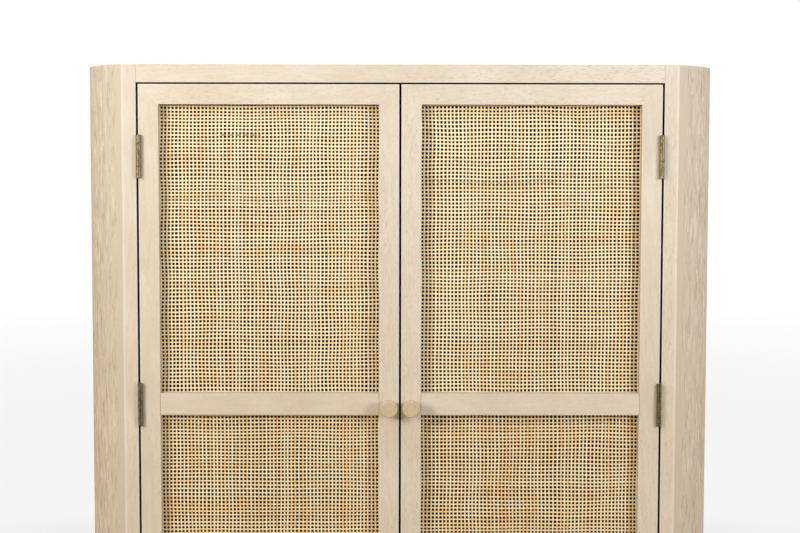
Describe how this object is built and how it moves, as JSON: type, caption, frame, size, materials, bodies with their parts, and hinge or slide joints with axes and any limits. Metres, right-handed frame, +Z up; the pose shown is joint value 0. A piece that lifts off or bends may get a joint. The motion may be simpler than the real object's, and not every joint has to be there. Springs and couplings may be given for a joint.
{
  "type": "record cabinet",
  "caption": "Tall record cabinet with bowed sides, inset doors panelled in open woven cane, turned knobs and butt hinges.",
  "frame": {"origin": "on the floor, under the centre of the closed cabinet's bounding box", "axes": "+Z up, the door faces look along -Y, +X to the right of someone facing the doors"},
  "size_m": [1.06, 0.412, 1.18],
  "materials": {
    "carcass_wood": "limed open-grain oak, satin",
    "door_wood": "limed open-grain oak, satin",
    "inner_wood": "oak, matt lacquer",
    "knob_wood": "turned oak, satin, end grain darker",
    "back_board": "plywood, unfinished",
    "cane": "woven cane, natural gloss",
    "hinge_brass": "antiqued, mottled",
    "hinge_pin_brass": "antiqued",
    "screw_steel": "zinc plated",
    "strike_steel": "zinc plated",
    "pin_steel": "nickel plated",
    "catch_plastic": "dark brown",
    "glide_plastic": "nylon"
  },
  "bodies": {
    "cabinet": {"back_panel": "back_board", "bottom_panel": "inner_wood", "centre_partition": "inner_wood", "corner_post_left": "carcass_wood", "corner_post_right": "carcass_wood", "front_bottom_rail": "carcass_wood", "front_top_rail": "carcass_wood", "glides": "glide_plastic", "hinge_frame_leaves_left": "hinge_brass", "hinge_frame_leaves_right": "hinge_brass", "hinge_pins_left": "hinge_pin_brass", "hinge_pins_right": "hinge_pin_brass", "lower_shelf_left": "inner_wood", "lower_shelf_right": "inner_wood", "magnetic_catch_left": "catch_plastic", "magnetic_catch_right": "catch_plastic", "plinth_back": "carcass_wood", "plinth_front": "carcass_wood", "plinth_side_left": "carcass_wood", "plinth_side_right": "carcass_wood", "rear_post_left": "carcass_wood", "rear_post_right": "carcass_wood", "shelf_pins": "pin_steel", "side_panel_left": "carcass_wood", "side_panel_right": "carcass_wood", "top_panel": "carcass_wood", "upper_shelf_left": "inner_wood", "upper_shelf_right": "inner_wood"},
    "left_door": {"cane_lower_left": "cane", "cane_strips_lower_left": "door_wood", "cane_strips_upper_left": "door_wood", "cane_upper_left": "cane", "door_bottom_rail_left": "door_wood", "door_middle_rail_left": "door_wood", "door_top_rail_left": "door_wood", "hinge_door_leaves_left": "hinge_brass", "hinge_stile_left": "door_wood", "knob_left": "knob_wood", "knob_screw_left": "screw_steel", "meeting_stile_left": "door_wood", "strike_plate_left": "strike_steel"},
    "right_door": {"cane_lower_right": "cane", "cane_strips_lower_right": "door_wood", "cane_strips_upper_right": "door_wood", "cane_upper_right": "cane", "door_bottom_rail_right": "door_wood", "door_middle_rail_right": "door_wood", "door_top_rail_right": "door_wood", "hinge_door_leaves_right": "hinge_brass", "hinge_stile_right": "door_wood", "knob_right": "knob_wood", "knob_screw_right": "screw_steel", "meeting_stile_right": "door_wood", "strike_plate_right": "strike_steel"}
  },
  "joints": [
    {"name": "left_door_hinge", "type": "hinge", "parent": "cabinet", "child": "left_door", "pos_m": [-0.4235, -0.1784, 0.627], "axis": [0, 0, -1], "range_deg": [0, 180]},
    {"name": "right_door_hinge", "type": "hinge", "parent": "cabinet", "child": "right_door", "pos_m": [0.4235, -0.1784, 0.627], "axis": [0, 0, 1], "range_deg": [0, 180]}
  ]
}
